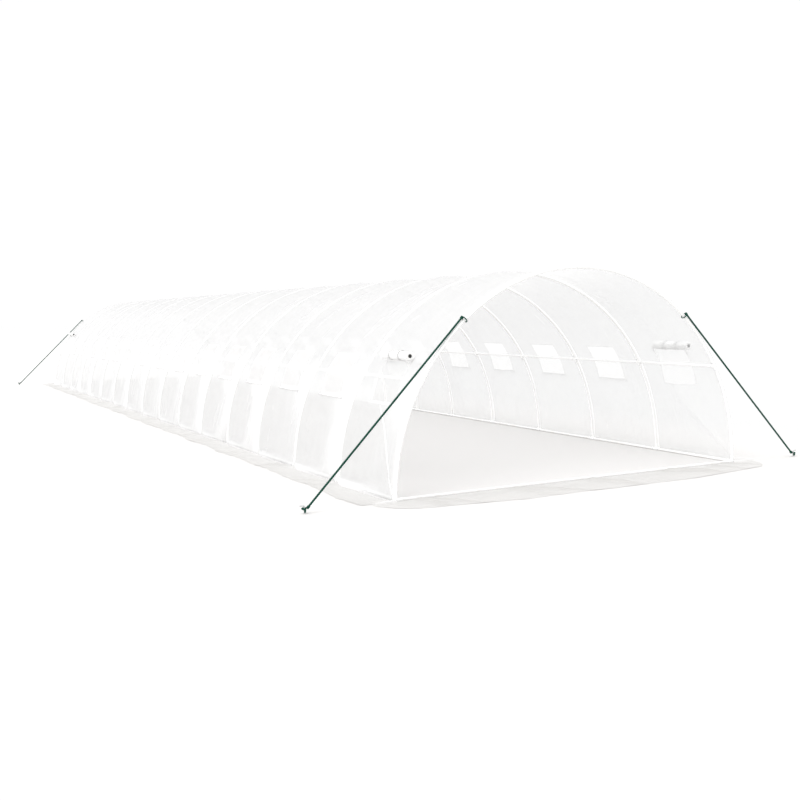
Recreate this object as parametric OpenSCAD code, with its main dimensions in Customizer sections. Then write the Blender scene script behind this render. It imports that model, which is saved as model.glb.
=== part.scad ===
// Polytunnel greenhouse: round hoops of plugged steel tube under a film cover.
// Millimetres. X runs across the tunnel, Y along it, Z up from the ground.
// The origin is the middle of the footprint at ground level.

/* [Tunnel] */
// Width over the outside of the hoops at the ground
span = 4000; // [2400:50:6000]
// Length between the middles of the two end hoops
tunnel_length = 18000; // [9000:500:24000]
// Number of bays between hoops
bays = 16; // [8:1:20]

/* [Tubes and fittings] */
// Outside diameter of every hoop, purlin and rail tube
tube_d = 25; // [19:1:38]
// Wall of the sleeves that the tubes plug into
fitting_wall = 2.4; // [1.6:0.1:4]
// Reach of a sleeve from the middle of its fitting
socket_len = 60; // [45:1:90]
// Room between a tube and its sleeve
socket_gap = 0.3; // [0.1:0.05:0.5]
// Angle of the side purlins above the ground
purlin_angle = 30.3; // [27:0.1:33]

/* [Film cover] */
// Thickness of the cover sheet
film_t = 3; // [1:0.5:4]
// Cover past the middle of the end hoops
film_overhang = 10; // [4:1:12]
// Angle of the welded seam between shoulder and roof sheets
seam_angle = 63; // [60:1:75]

/* [Side windows] */
// Width of a window along the tunnel
window_w = 460; // [300:10:700]
// Angle of the window sill
window_low = 23.7; // [20:0.1:25]
// Angle of the window head
window_high = 35.6; // [34.5:0.1:37]
// Cover of a hanging flap past its window
flap_lap = 30; // [15:1:60]
// Thickness of a hanging flap
flap_t = 2; // [1:0.5:3]
// Thickness of the netting in a window
net_t = 1; // [0.5:0.5:2]

/* [Rolled flaps] */
// Diameter of a flap rolled up over its window
roll_d = 90; // [60:1:130]
// Diameter of the hollow in the middle of a roll
roll_core_d = 36; // [20:1:50]
// Depth of that hollow at each end
roll_core_depth = 60; // [20:1:120]
// Width of a tie
tie_w = 25; // [15:1:40]
// Thickness of a tie
tie_t = 2; // [1:0.5:3]
// Distance between the two ties of a roll
tie_spacing = 180; // [120:10:340]

/* [Ground skirt] */
// Width of the skirt along each side
side_skirt_w = 380; // [200:10:450]
// Width of the skirt across each end
end_skirt_w = 500; // [200:10:700]
// Reach of the end skirts past the sides
end_skirt_lap = 230; // [0:10:300]

/* [Guy ropes and pegs] */
// Diameter of the guy ropes
rope_d = 20; // [8:1:22]
// Diameter of the knots at the ends of a rope
knot_d = 32; // [26:1:34]
// Distance of the pegs outside the hoops
peg_out = 850; // [700:10:1400]
// Distance of the pegs past the end hoops
peg_ahead = 50; // [0:10:600]
// Height of the rope's loop on its peg
peg_loop_z = 42; // [18:1:44]
// Diameter of the steel peg
peg_d = 12; // [8:1:16]
// Height of the peg above the ground
peg_h = 72; // [66:1:110]
// Length of the bent arm on top of the peg
peg_arm = 40; // [25:1:60]
// Room between the rope's loop and the film that it passes over
loop_slack = 8; // [4:1:14]
// Hole of the eyelets that the rope's loops pass through
eyelet_d = 36; // [32:1:44]
// Width of an eyelet's rim
eyelet_rim = 8; // [4:1:12]
// Thickness of an eyelet
eyelet_t = 2; // [1:0.5:3]

/* [Hidden] */
$fn = 180;
// Gap between pieces that rest on each other
seat_gap = 0.3;
// Drop from the seam above a window to the middle of its rolled flap
roll_hang = 20;
// Room between a taut rope and the film that it passes
rope_clear = 1;
// Extra length of a cutting shape past the face it opens
cut_over = 1;
// Sides of the smaller round pieces
small_fn = 48;

bay = tunnel_length / bays;
end_y = tunnel_length / 2;
hoop_r = (span - tube_d) / 2;
fitting_od = tube_d + 2 * (socket_gap + fitting_wall);
bore_d = tube_d + 2 * socket_gap;
base_z = fitting_od / 2;
// Tubes stop short of each other in the middle of a fitting
tube_stop = tube_d / 2 + fitting_wall;
bore_stop = tube_stop - socket_gap;

film_r = hoop_r + fitting_od / 2 + seat_gap;
film_outer_r = film_r + film_t;
film_end_y = end_y + film_overhang;
skirt_t = base_z - tube_d / 2 - seat_gap;
film_foot_angle = asin((skirt_t + seat_gap - base_z) / film_r);

flap_r = film_outer_r + seat_gap;
flap_lap_angle = arc_deg(flap_lap, flap_r);
roll_r = film_outer_r + 2 * seat_gap + tie_t + roll_d / 2;
roll_angle = window_high + arc_deg(flap_lap - roll_hang, film_outer_r);
roll_len = window_w + 2 * flap_lap;

// The rope's loop bears on the inside of the end hoop and passes over the film
loop_in = tube_d / 2 + seat_gap + rope_d / 2;
loop_out = film_outer_r - hoop_r + loop_slack + rope_d / 2;
loop_r = (loop_in + loop_out) / 2;
loop_shift = (loop_out - loop_in) / 2;
rope_r = hoop_r + loop_out;
peg_x = span / 2 + peg_out;
peg_y = end_y + peg_ahead;
peg_ring_r = peg_d / 2 + seat_gap + rope_d / 2;
peg_bend_r = peg_d;
rope_foot = [peg_x - peg_ring_r - rope_d / 2, peg_y, peg_loop_z];
// The taut rope just clears the film below its loop
rope_rise = peg_loop_z - base_z;
rope_pass_r = film_outer_r + rope_d / 2 + rope_clear;
rope_angle = acos(rope_pass_r / norm([rope_foot[0], rope_rise])) + atan2(rope_rise, rope_foot[0])
    + acos(rope_pass_r / rope_r);
rope_head = [rope_r * cos(rope_angle), end_y, base_z + rope_r * sin(rope_angle)];
film_over_loop = film_r + film_t / 2 - hoop_r - loop_shift;
eyelet_y = end_y - sqrt(loop_r * loop_r - film_over_loop * film_over_loop);

steel = [0.93, 0.93, 0.92];
fitting_grey = [0.86, 0.86, 0.85];
film_clear = [0.93, 0.96, 0.96, 0.45];
film_white = [0.97, 0.98, 0.98, 0.8];
rope_green = [0.13, 0.34, 0.26];
zinc = [0.62, 0.63, 0.64];

// Angle in degrees of a length along a circle
function arc_deg(len, r) = len / r * 180 / PI;
// Place of a hoop and of the middle of a bay along the tunnel
function hoop_y(i) = i * bay - end_y;
function bay_y(i) = hoop_y(i) + bay / 2;
// Point on a circle round the tunnel's axis
function on_arch(r, a) = [r * cos(a), 0, base_z + r * sin(a)];

// Turns a profile about the tunnel's axis, from one angle to another
module arch(from, to) {
    translate([0, 0, base_z])
        rotate([90, 0, 0])
            rotate([0, 0, from])
                rotate_extrude(angle = to - from)
                    children();
}

// Bent tube between two angles
module bent_tube(from, to, d) {
    arch(from, to)
        translate([hoop_r, 0])
            circle(d = d, $fn = small_fn);
}

// Curved sheet between two angles and two places along the tunnel
module sheet(r, t, from, to, y0, y1) {
    arch(from, to)
        translate([r, -y1])
            square([t, y1 - y0]);
}

// Straight round bar along Y, from y0 to y1
module bar_y(y0, y1, d) {
    translate([0, y0, 0])
        rotate([-90, 0, 0])
            cylinder(h = y1 - y0, d = d, $fn = small_fn);
}

// Straight round bar from one point to another
module bar(p, q, d) {
    v = q - p;
    translate(p)
        rotate([0, acos(v[2] / norm(v)), atan2(v[1], v[0])])
            cylinder(h = norm(v), d = d, $fn = small_fn);
}

module left() {
    mirror([1, 0, 0])
        children();
}

module back() {
    mirror([0, 1, 0])
        children();
}

// One piece at each hoop
module at_hoops(first, last) {
    for (i = [first : last])
        translate([0, hoop_y(i), 0])
            children();
}

// Tubes between hoops, plugged into the fittings at both ends
module bay_tubes(place) {
    for (i = [0 : bays - 1])
        translate(place)
            bar_y(hoop_y(i) + tube_stop, hoop_y(i + 1) - tube_stop, tube_d);
}

module hoop_legs() {
    color(steel)
        at_hoops(0, bays)
            bent_tube(arc_deg(tube_stop, hoop_r), purlin_angle - arc_deg(tube_stop, hoop_r), tube_d);
}

module hoop_rafters() {
    color(steel)
        at_hoops(0, bays)
            bent_tube(purlin_angle + arc_deg(tube_stop, hoop_r), 90 - arc_deg(tube_stop, hoop_r), tube_d);
}

module side_purlin() {
    color(steel)
        bay_tubes(on_arch(hoop_r, purlin_angle));
}

module base_rail_side() {
    color(steel)
        bay_tubes(on_arch(hoop_r, 0));
}

module base_rail_end() {
    reach = hoop_r - tube_stop;
    color(steel)
        bar([-reach, -end_y, base_z], [reach, -end_y, base_z], tube_d);
}

// Sleeves along the tunnel, on the sides that are asked for
module sleeve_y(place, d, start, before, after) {
    translate(place) {
        if (before)
            bar_y(-socket_len - d_over(d), -start, d);
        if (after)
            bar_y(start, socket_len + d_over(d), d);
    }
}

// A bore is cut past the mouth of its sleeve
function d_over(d) = d < fitting_od ? cut_over : 0;

// Fitting that joins two lengths of a hoop, with sleeves for a purlin on the sides that are asked for
module hoop_fitting(angle, before, after) {
    reach = arc_deg(socket_len, hoop_r);
    inner = arc_deg(bore_stop, hoop_r);
    over = arc_deg(socket_len + cut_over, hoop_r);
    place = on_arch(hoop_r, angle);
    difference() {
        union() {
            bent_tube(angle - reach, angle + reach, fitting_od);
            sleeve_y(place, fitting_od, 0, before, after);
        }
        bent_tube(angle - over, angle - inner, bore_d);
        bent_tube(angle + inner, angle + over, bore_d);
        sleeve_y(place, bore_d, bore_stop, before, after);
    }
}

module hoop_fittings(angle, purlin) {
    color(fitting_grey)
        for (i = [0 : bays])
            translate([0, hoop_y(i), 0])
                hoop_fitting(angle, purlin && i > 0, purlin && i < bays);
}

// Foot of a hoop between two lengths of base rail
module base_tee() {
    place = on_arch(hoop_r, 0);
    difference() {
        union() {
            bent_tube(0, arc_deg(socket_len, hoop_r), fitting_od);
            sleeve_y(place, fitting_od, 0, true, true);
        }
        bent_tube(arc_deg(bore_stop, hoop_r), arc_deg(socket_len + cut_over, hoop_r), bore_d);
        sleeve_y(place, bore_d, bore_stop, true, true);
    }
}

module base_tees() {
    color(fitting_grey)
        at_hoops(1, bays - 1)
            base_tee();
}

// Foot of an end hoop, where the side rail meets the end rail
module corner_fitting() {
    place = on_arch(hoop_r, 0);
    mouth = place - [socket_len, 0, 0];
    difference() {
        union() {
            translate(place)
                sphere(d = fitting_od, $fn = small_fn);
            bent_tube(0, arc_deg(socket_len, hoop_r), fitting_od);
            sleeve_y(place, fitting_od, 0, false, true);
            bar(place, mouth, fitting_od);
        }
        bent_tube(arc_deg(bore_stop, hoop_r), arc_deg(socket_len + cut_over, hoop_r), bore_d);
        sleeve_y(place, bore_d, bore_stop, false, true);
        bar(place - [bore_stop, 0, 0], mouth - [cut_over, 0, 0], bore_d);
    }
}

module corner_fittings() {
    color(fitting_grey)
        four_corners()
            translate([0, -end_y, 0])
                corner_fitting();
}

// The same piece at all four corners of the tunnel, drawn at the front right
module four_corners() {
    children();
    left()
        children();
    back() {
        children();
        left()
            children();
    }
}

module wall_film() {
    color(film_clear)
        sheet(film_r, film_t, film_foot_angle, window_low, -film_end_y, film_end_y);
}

// Panels of film between the windows, one across each hoop
module window_film() {
    color(film_clear)
        for (i = [0 : bays]) {
            y0 = i == 0 ? -film_end_y : bay_y(i - 1) + window_w / 2;
            y1 = i == bays ? film_end_y : bay_y(i) - window_w / 2;
            sheet(film_r, film_t, window_low, window_high, y0, y1);
        }
}

// Place of an eyelet at the front right, with its axis along Z
module at_eyelet() {
    translate([0, -eyelet_y, base_z])
        rotate([0, 90 - rope_angle, 0])
            children();
}

module shoulder_film() {
    color(film_clear)
        difference() {
            sheet(film_r, film_t, window_high, seam_angle, -film_end_y, film_end_y);
            for (end = [0, 1])
                mirror([0, end, 0])
                    at_eyelet()
                        translate([0, 0, film_r - film_t])
                            cylinder(h = 3 * film_t, d = eyelet_d, $fn = small_fn);
        }
}

module roof_film() {
    color(film_clear)
        sheet(film_r, film_t, seam_angle, 90, -film_end_y, film_end_y);
}

// Netting set into each window
module window_nets() {
    edge = arc_deg(seat_gap, film_r);
    half_w = window_w / 2 - seat_gap;
    color(film_white)
        for (i = [0 : bays - 1])
            sheet(film_r + (film_t - net_t) / 2, net_t, window_low + edge, window_high - edge,
                bay_y(i) - half_w, bay_y(i) + half_w);
}

// Flaps that hang shut over the windows of the middle bays
module window_flaps() {
    half_w = window_w / 2 + flap_lap;
    color(film_white)
        for (i = [1 : bays - 2])
            sheet(flap_r, flap_t, window_low - flap_lap_angle, window_high + flap_lap_angle,
                bay_y(i) - half_w, bay_y(i) + half_w);
}

// Place of each rolled flap: the first and the last bay
module at_rolls() {
    for (i = [0, bays - 1])
        translate(on_arch(roll_r, roll_angle) + [0, bay_y(i), 0])
            children();
}

module rolled_flaps() {
    color(film_white)
        at_rolls()
            difference() {
                bar_y(-roll_len / 2, roll_len / 2, roll_d);
                bar_y(-roll_len / 2 - cut_over, roll_core_depth - roll_len / 2, roll_core_d);
                bar_y(roll_len / 2 - roll_core_depth, roll_len / 2 + cut_over, roll_core_d);
            }
}

// Two bands round each roll
module flap_ties() {
    color(film_white)
        at_rolls()
            for (side = [-1, 1])
                translate([0, side * tie_spacing / 2, 0])
                    rotate([90, 0, 0])
                        rotate_extrude($fn = small_fn)
                            translate([roll_d / 2 + seat_gap, -tie_w / 2])
                                square([tie_t, tie_w]);
}

// Skirt that lies on the ground outside a wall, under the cover's edge
module ground_skirt_side() {
    half = end_y + fitting_od / 2;
    color(film_clear)
        translate([film_r, -half, 0])
            cube([side_skirt_w, 2 * half, skirt_t]);
}

// Skirt across an end, tucked under the end rail between the corner fittings
module ground_skirt_end() {
    edge = end_y + fitting_od / 2 + seat_gap;
    tuck = end_y - tube_d / 2;
    half = film_r + end_skirt_lap;
    tongue = hoop_r - socket_len - seat_gap;
    color(film_clear)
        linear_extrude(skirt_t)
            polygon([
                [-half, -edge - end_skirt_w], [half, -edge - end_skirt_w], [half, -edge], [tongue, -edge],
                [tongue, -tuck], [-tongue, -tuck], [-tongue, -edge], [-half, -edge]
            ]);
}

// Taut rope from a loop round the end hoop to a loop round its peg
module guy_rope() {
    color(rope_green)
        mirror([0, 1, 0]) {
            run = rope_head - rope_foot;
            clear = run / norm(run) * (rope_d / 2 + cut_over);
            bar(rope_foot + clear, rope_head - clear, rope_d);
            for (end = [rope_foot, rope_head])
                translate(end)
                    rotate([90, 0, 0])
                        sphere(d = knot_d, $fn = small_fn);
            translate(on_arch(hoop_r + loop_shift, rope_angle) + [0, end_y, 0])
                rotate([0, -rope_angle, 0])
                    rope_ring(loop_r);
            translate([peg_x, peg_y, peg_loop_z])
                rope_ring(peg_ring_r);
        }
}

module rope_ring(r) {
    rotate_extrude($fn = small_fn)
        translate([r, 0])
            circle(d = rope_d, $fn = small_fn);
}

module rope_eyelets() {
    color(zinc)
        four_corners()
            at_eyelet()
                translate([0, 0, film_outer_r + seat_gap])
                    rotate_extrude($fn = small_fn)
                        translate([eyelet_d / 2, 0])
                            square([eyelet_rim, eyelet_t]);
}

// Steel pin with its top bent away from the tunnel
module ground_peg() {
    pin_h = peg_h - peg_d / 2 - peg_bend_r;
    cylinder(h = pin_h, d = peg_d, $fn = small_fn);
    translate([peg_bend_r, 0, pin_h])
        rotate([90, 0, 0])
            rotate([0, 0, 90])
                rotate_extrude(angle = 90, $fn = small_fn)
                    translate([peg_bend_r, 0])
                        circle(d = peg_d, $fn = small_fn);
    translate([peg_bend_r, 0, pin_h + peg_bend_r])
        rotate([0, 90, 0])
            cylinder(h = peg_arm - peg_bend_r, d = peg_d, $fn = small_fn);
}

module ground_pegs() {
    color(zinc)
        four_corners()
            translate([peg_x, -peg_y, 0])
                ground_peg();
}

left() hoop_legs();  // hoop_legs_left
hoop_legs();  // hoop_legs_right
left() hoop_rafters();  // hoop_rafters_left
hoop_rafters();  // hoop_rafters_right
left() side_purlin();  // side_purlin_left
side_purlin();  // side_purlin_right
left() hoop_fittings(purlin_angle, true);  // side_fittings_left
hoop_fittings(purlin_angle, true);  // side_fittings_right
hoop_fittings(90, false);  // ridge_fittings
left() base_rail_side();  // base_rail_left
base_rail_side();  // base_rail_right
base_rail_end();  // base_rail_front
back() base_rail_end();  // base_rail_back
left() base_tees();  // base_tees_left
base_tees();  // base_tees_right
corner_fittings();
left() wall_film();  // wall_film_left
wall_film();  // wall_film_right
left() window_film();  // window_film_left
window_film();  // window_film_right
left() shoulder_film();  // shoulder_film_left
shoulder_film();  // shoulder_film_right
left() roof_film();  // roof_film_left
roof_film();  // roof_film_right
left() window_nets();  // window_nets_left
window_nets();  // window_nets_right
left() window_flaps();  // window_flaps_left
window_flaps();  // window_flaps_right
left() rolled_flaps();  // rolled_flaps_left
rolled_flaps();  // rolled_flaps_right
left() flap_ties();  // flap_ties_left
flap_ties();  // flap_ties_right
left() ground_skirt_side();  // ground_skirt_left
ground_skirt_side();  // ground_skirt_right
ground_skirt_end();  // ground_skirt_front
back() ground_skirt_end();  // ground_skirt_back
left() guy_rope();  // guy_rope_front_left
guy_rope();  // guy_rope_front_right
back() left() guy_rope();  // guy_rope_back_left
back() guy_rope();  // guy_rope_back_right
rope_eyelets();
ground_pegs();
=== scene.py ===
"""Polytunnel greenhouse: white tube hoops under a clear film cover, with roll-up windows and guy ropes."""

import math

import bpy
import numpy as np
from mathutils import Matrix, Vector


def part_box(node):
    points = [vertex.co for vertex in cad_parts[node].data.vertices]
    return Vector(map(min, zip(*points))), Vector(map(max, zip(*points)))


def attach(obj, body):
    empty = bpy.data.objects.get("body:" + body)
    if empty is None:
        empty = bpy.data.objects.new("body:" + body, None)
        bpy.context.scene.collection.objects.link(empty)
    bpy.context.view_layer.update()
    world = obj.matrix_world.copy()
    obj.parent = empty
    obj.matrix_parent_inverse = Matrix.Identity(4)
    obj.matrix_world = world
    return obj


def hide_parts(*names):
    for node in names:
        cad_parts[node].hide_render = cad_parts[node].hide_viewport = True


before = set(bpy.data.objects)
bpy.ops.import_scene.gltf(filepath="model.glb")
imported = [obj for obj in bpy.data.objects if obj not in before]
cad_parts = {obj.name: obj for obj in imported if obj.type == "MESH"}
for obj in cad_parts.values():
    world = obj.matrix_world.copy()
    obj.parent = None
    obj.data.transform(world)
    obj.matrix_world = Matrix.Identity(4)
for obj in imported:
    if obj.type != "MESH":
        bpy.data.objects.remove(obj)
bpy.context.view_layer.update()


# Camera
# It stands at eye height ahead of the near corner and looks along the tunnel and a little down, upright
# to within a degree. Its place and its lens were solved from the feet of the hoops and the end arches.
eye = Vector((-5.778, -16.180, 1.584))
camera_yaw = math.radians(28.15)
camera_pitch = math.radians(5.04)
camera_roll = math.radians(-0.79)
focal_length_px = 966.2
image_width_px = 800
sensor_mm = 36
view_limit_m = 400

looking = Vector((
    math.sin(camera_yaw) * math.cos(camera_pitch),
    math.cos(camera_yaw) * math.cos(camera_pitch),
    -math.sin(camera_pitch),
))
level_right = Vector((math.cos(camera_yaw), -math.sin(camera_yaw), 0))
level_up = level_right.cross(looking)
camera_right = math.cos(camera_roll) * level_right + math.sin(camera_roll) * level_up
camera_up = math.cos(camera_roll) * level_up - math.sin(camera_roll) * level_right

camera_data = bpy.data.cameras.new("camera")
camera_data.sensor_width = sensor_mm
camera_data.lens = focal_length_px / image_width_px * sensor_mm
camera_data.clip_end = view_limit_m
camera = bpy.data.objects.new("camera", camera_data)
camera_axes = Matrix((camera_right, camera_up, -looking)).transposed()
camera.matrix_world = Matrix.Translation(eye) @ camera_axes.to_4x4()
bpy.context.collection.objects.link(camera)
bpy.context.scene.camera = camera


# Studio
# A wide pale floor under an even white sky, with a broad soft key light from the left and a fill from
# above. The floor is as bright as the sky, so no horizon shows. Along the tunnel it is painted a little
# paler, a painted light that lifts the tunnel's shadow and contact shade on the floor.
floor_half_m = 160
floor_painted_light_by_tunnel = (0.667, 0.657, 0.650, 1)
floor_beyond = (0.608, 0.608, 0.608, 1)
floor_change_m = (2.6, 5.0)
sky_strength = 1.01
light_softness = math.radians(60)
lights = {"key": (2.1, Vector((-0.95, -0.20, 0.8))), "fill": (0.8, Vector((0.35, 0.20, 1.0)))}


class Wire:
    """One output of a shader node. Arithmetic on it adds Math nodes to the same tree."""

    def __init__(self, tree, socket=None):
        self.tree = tree
        self.socket = socket

    def node(self, kind, settings=None, sockets=None, out=0):
        made = self.tree.nodes.new("ShaderNode" + kind)
        for name, value in (settings or {}).items():
            if name == "stops":
                for stop, (place, colour) in zip(made.color_ramp.elements, value):
                    stop.position = place
                    stop.color = colour
            else:
                setattr(made, name, value)
        for name, value in (sockets or {}).items():
            if isinstance(value, Wire):
                self.tree.links.new(value.socket, made.inputs[name])
            else:
                made.inputs[name].default_value = value
        return Wire(self.tree, made.outputs[out] if made.outputs else None)

    def math(self, operation, first, second=0.0):
        return self.node("Math", {"operation": operation}, {0: first, 1: second})

    def __add__(self, other):
        return self.math("ADD", self, other)

    __radd__ = __add__

    def __sub__(self, other):
        return self.math("SUBTRACT", self, other)

    def __rsub__(self, other):
        return self.math("SUBTRACT", other, self)

    def __mul__(self, other):
        return self.math("MULTIPLY", self, other)

    def __truediv__(self, other):
        return self.math("DIVIDE", self, other)

    def __pow__(self, other):
        return self.math("POWER", self, other)

    def ramp(self, low, high, from_value=0.0, to_value=1.0):
        ends = {"Value": self, "From Min": low, "From Max": high, "To Min": from_value, "To Max": to_value}
        return self.node("MapRange", {"interpolation_type": "SMOOTHSTEP"}, ends)

    def mix(self, first, second):
        colours = {"Factor": self, 6: first, 7: second}
        return self.node("Mix", {"data_type": "RGBA"}, colours, 2)


def new_finish(name):
    """An empty material and a wire to start its nodes from."""
    material = bpy.data.materials.new(name)
    material.use_nodes = True
    material.node_tree.nodes.clear()
    return material, Wire(material.node_tree)


def surface(material, sockets, show=None, glow=None, glow_colour=(1, 1, 1, 1)):
    """Closes a material with one Principled shader. A sheer one shows by the share show, and of that the
    share glow is lit through."""
    start = Wire(material.node_tree)
    shader = start.node("BsdfPrincipled", None, sockets)
    if glow is not None:
        lit_through = start.node("BsdfTranslucent", None, {"Color": glow_colour})
        shader = start.node("MixShader", None, {"Fac": glow, 1: shader, 2: lit_through})
    if show is not None:
        shader = start.node("MixShader", None, {"Fac": show, 1: start.node("BsdfTransparent"), 2: shader})
    start.node("OutputMaterial", None, {"Surface": shader})
    return material


floor_finish, start = new_finish("studio_floor")
floor_place = start.node("TexCoord", out="Object")
floor_x = start.node("SeparateXYZ", None, {"Vector": floor_place}, "X")
floor_aside = floor_x.math("ABSOLUTE", floor_x)
# Painted light: the floor is paler within a few metres of the tunnel's axis, where its shadow and contact
# shade fall.
floor_tone_with_painted_light = floor_aside.ramp(*floor_change_m).mix(floor_painted_light_by_tunnel, floor_beyond)
surface(floor_finish, {"Base Color": floor_tone_with_painted_light, "Roughness": 0.9, "Specular IOR Level": 0.1})

floor_mesh = bpy.data.meshes.new("studio_floor")
floor_corners = [(x * floor_half_m, y * floor_half_m, 0) for x, y in ((-1, -1), (1, -1), (1, 1), (-1, 1))]
floor_mesh.from_pydata(floor_corners, [], [(0, 1, 2, 3)])
floor_mesh.materials.append(floor_finish)
studio_floor = bpy.data.objects.new("studio_floor", floor_mesh)
bpy.context.collection.objects.link(studio_floor)

sky = bpy.data.worlds.new("sky")
sky.use_nodes = True
sky.node_tree.nodes["Background"].inputs["Color"].default_value = (1, 1, 1, 1)
sky.node_tree.nodes["Background"].inputs["Strength"].default_value = sky_strength
bpy.context.scene.world = sky
bpy.context.scene.view_settings.view_transform = "Standard"

for name, (strength, comes_from) in lights.items():
    light_data = bpy.data.lights.new(name, "SUN")
    light_data.energy = strength
    light_data.angle = light_softness
    light = bpy.data.objects.new(name, light_data)
    light.rotation_euler = comes_from.to_track_quat("Z", "Y").to_euler()
    bpy.context.collection.objects.link(light)


# Hoops, purlins and base rails
# Galvanised steel tube under a white powder coat, bent to a half circle and plugged together.
# The coat has a fine orange peel and is a little dulled by soil splash close to the ground.
coat_white = (0.90, 0.90, 0.895, 1)
coat_splashed = (0.83, 0.815, 0.785, 1)
splash_height = 0.22

tube_finish, start = new_finish("powder_coat")
place = start.node("TexCoord", out="Object")
height = start.node("SeparateXYZ", None, {"Vector": place}, "Z")
blotch = start.node("TexNoise", None, {"Vector": place, "Scale": 9.0, "Detail": 4.0}, "Fac")
peel = start.node("TexNoise", None, {"Vector": place, "Scale": 700.0, "Detail": 1.0}, "Fac")
splash = height.ramp(splash_height, 0.0) * blotch.ramp(0.42, 0.68)
peel_bump = start.node("Bump", None, {"Height": peel, "Strength": 0.12, "Distance": 0.0004}, "Normal")
surface(tube_finish, {
    "Base Color": (splash * 0.7).mix(coat_white, coat_splashed),
    "Roughness": 0.34 + blotch * 0.14 + splash * 0.2,
    "Normal": peel_bump,
})


def dress(names, material):
    """Gives CAD pieces one finish."""
    for name in names:
        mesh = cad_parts[name].data
        mesh.materials.clear()
        mesh.materials.append(material)


sides = ("left", "right")
tube_nodes = ["base_rail_front", "base_rail_back"]
for piece in ("hoop_legs", "hoop_rafters", "side_purlin", "base_rail"):
    tube_nodes += [f"{piece}_{side}" for side in sides]
dress(tube_nodes, tube_finish)


# Sleeve fittings
# Pressed steel sleeves under the same white coat, which take the tubes at each crossing and at the hoops'
# feet. A zinc-plated hex-headed screw on the inner side of each arm locks its tube.
sleeve_clean = (0.95, 0.95, 0.945, 1)
sleeve_dulled = (0.90, 0.90, 0.89, 1)
zinc_light = (0.80, 0.81, 0.82, 1)
zinc_dark = (0.60, 0.61, 0.63, 1)

fitting_finish, start = new_finish("coated_sleeve")
place = start.node("TexCoord", out="Object")
coat_grain = start.node("TexNoise", None, {"Vector": place, "Scale": 420.0, "Detail": 3.0}, "Fac")
dulling = start.node("TexNoise", None, {"Vector": place, "Scale": 30.0, "Detail": 3.0}, "Fac")
grain_bump = start.node("Bump", None, {"Height": coat_grain, "Strength": 0.2, "Distance": 0.0005}, "Normal")
surface(fitting_finish, {
    "Base Color": dulling.mix(sleeve_clean, sleeve_dulled),
    "Roughness": 0.38 + dulling * 0.16,
    "Normal": grain_bump,
})
dress(["ridge_fittings", "corner_fittings"], fitting_finish)
dress([f"{piece}_{side}" for piece in ("side_fittings", "base_tees") for side in sides], fitting_finish)

screw_finish, start = new_finish("zinc_screw")
place = start.node("TexCoord", out="Object")
tarnish = start.node("TexNoise", None, {"Vector": place, "Scale": 260.0, "Detail": 3.0}, "Fac")
surface(screw_finish, {
    "Base Color": tarnish.mix(zinc_light, zinc_dark),
    "Metallic": 0.8,
    "Roughness": 0.3 + tarnish * 0.2,
})

bays = 16
end_y = -0.5 * (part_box("base_rail_front")[0][1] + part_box("base_rail_front")[1][1])
bay = 2 * end_y / bays
hoop_places = [i * bay - end_y for i in range(bays + 1)]
tube_r = 0.5 * (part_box("base_rail_front")[1][2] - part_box("base_rail_front")[0][2])
axis_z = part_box("base_rail_front")[0][2] + tube_r
hoop_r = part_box("base_rail_right")[1][0] - tube_r
sleeve_r = axis_z
purlin_angle = math.asin((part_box("side_purlin_right")[1][2] - tube_r - axis_z) / hoop_r)
screw_reach = 0.042
screw_head_r = 0.0055
screw_head_h = 0.004
screw_washer_r = 0.0075
screw_washer_h = 0.0012
screw_sunk = 0.0004
screw_top_share = 0.7


def mesh_piece(name, points, faces, material, smooth=True):
    """A new mesh object that rides on the tunnel."""
    mesh = bpy.data.meshes.new(name)
    mesh.from_pydata([tuple(p) for p in points], [], faces)
    mesh.update()
    if smooth:
        mesh.shade_smooth()
    else:
        mesh.shade_flat()
    mesh.materials.append(material)
    piece = bpy.data.objects.new(name, mesh)
    bpy.context.collection.objects.link(piece)
    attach(piece, "root")
    return piece


def lathe(profile, sides_round):
    """Points and faces of a closed turned shape on the Z axis, from (radius, height) pairs."""
    points = [(0, 0, profile[0][1])]
    faces = []
    for ring, (radius, level) in enumerate(profile):
        for k in range(sides_round):
            turn = 2 * math.pi * k / sides_round
            points.append((radius * math.cos(turn), radius * math.sin(turn), level))
        for k in range(sides_round):
            here = 1 + ring * sides_round + k
            beside = 1 + ring * sides_round + (k + 1) % sides_round
            if ring == 0:
                faces.append((0, beside, here))
            else:
                faces.append((here - sides_round, beside - sides_round, beside, here))
    points.append((0, 0, profile[-1][1]))
    top = 1 + (len(profile) - 1) * sides_round
    faces += [(top + k, top + (k + 1) % sides_round, len(points) - 1) for k in range(sides_round)]
    return np.array(points), faces


def scatter(shape, frames):
    """Copies of one shape at many 4 by 4 frames, joined."""
    points, faces = shape
    all_points = []
    all_faces = []
    for at in frames:
        offset = len(all_points)
        all_points += [at @ Vector(p) for p in points]
        all_faces += [tuple(offset + i for i in face) for face in faces]
    return all_points, all_faces


def inward_frame(angle, y, reach_angle=0.0, reach_y=0.0):
    """A frame on the inner side of a sleeve, with Z towards the tunnel's axis."""
    turn = angle + reach_angle
    radius = hoop_r - sleeve_r
    origin = Vector((radius * math.cos(turn), y + reach_y, axis_z + radius * math.sin(turn)))
    inward = Vector((-math.cos(turn), 0, -math.sin(turn)))
    return Matrix.Translation(origin) @ inward.to_track_quat("Z", "Y").to_matrix().to_4x4()


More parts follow.
